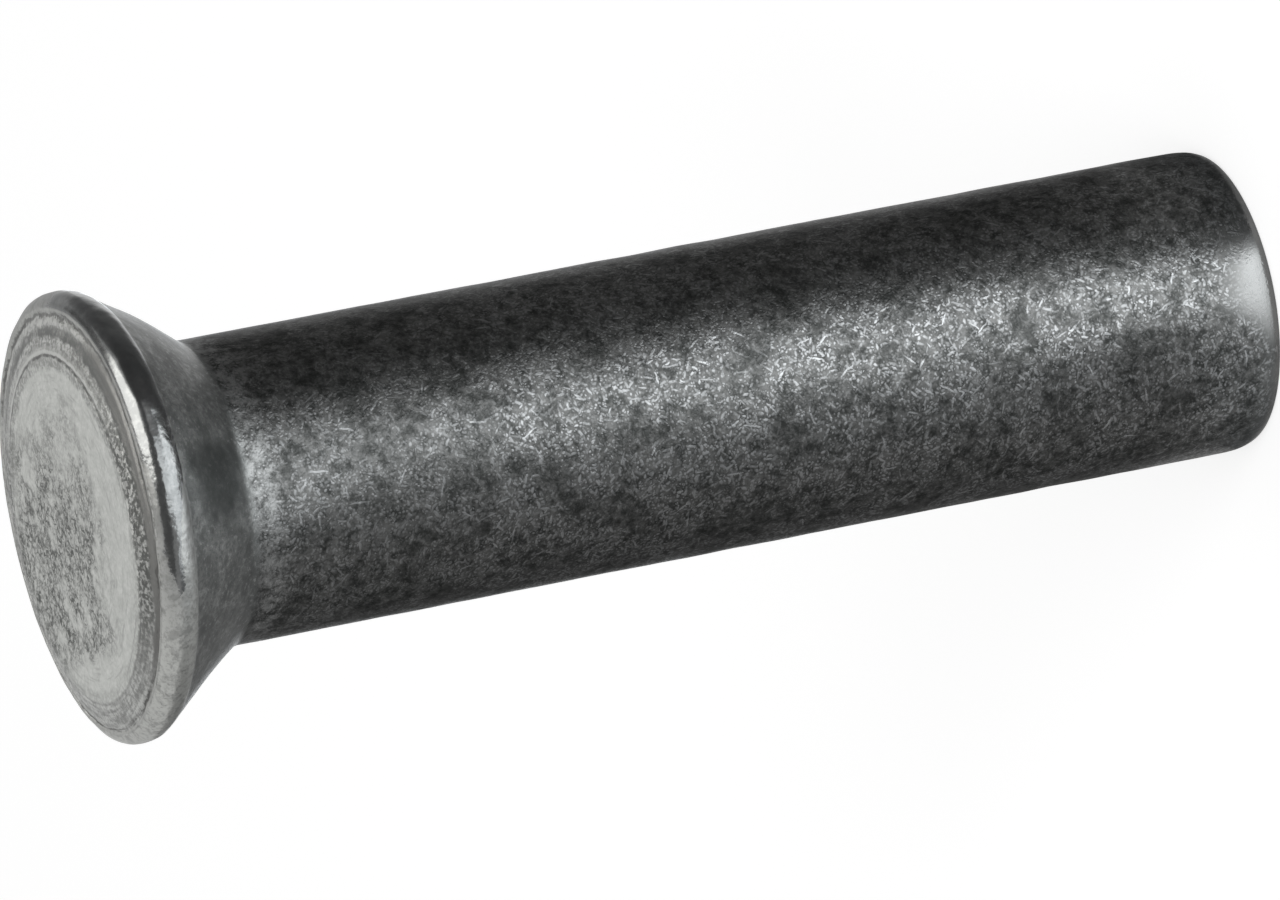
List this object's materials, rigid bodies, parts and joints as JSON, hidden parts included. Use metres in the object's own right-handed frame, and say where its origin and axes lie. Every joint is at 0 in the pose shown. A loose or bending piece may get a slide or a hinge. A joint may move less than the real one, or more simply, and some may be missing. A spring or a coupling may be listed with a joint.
{
  "type": "oval head rivet",
  "caption": "Solid round-shank steel rivet before setting, with a countersunk cone under a slightly raised, flat-topped head and an eased, flat tail end.",
  "frame": {"origin": "centre of the flat tail face, on which the rivet stands", "axes": "+Z along the shank's axis from the tail up to the head"},
  "size_m": [0.0148, 0.0148, 0.0406],
  "materials": {
    "steel": "bare carbon steel, tumbled dark grey with fine bright scratches on the shank, worn pale on the head's face and rim"
  },
  "bodies": {
    "root": {"rivet": "steel"}
  },
  "joints": []
}
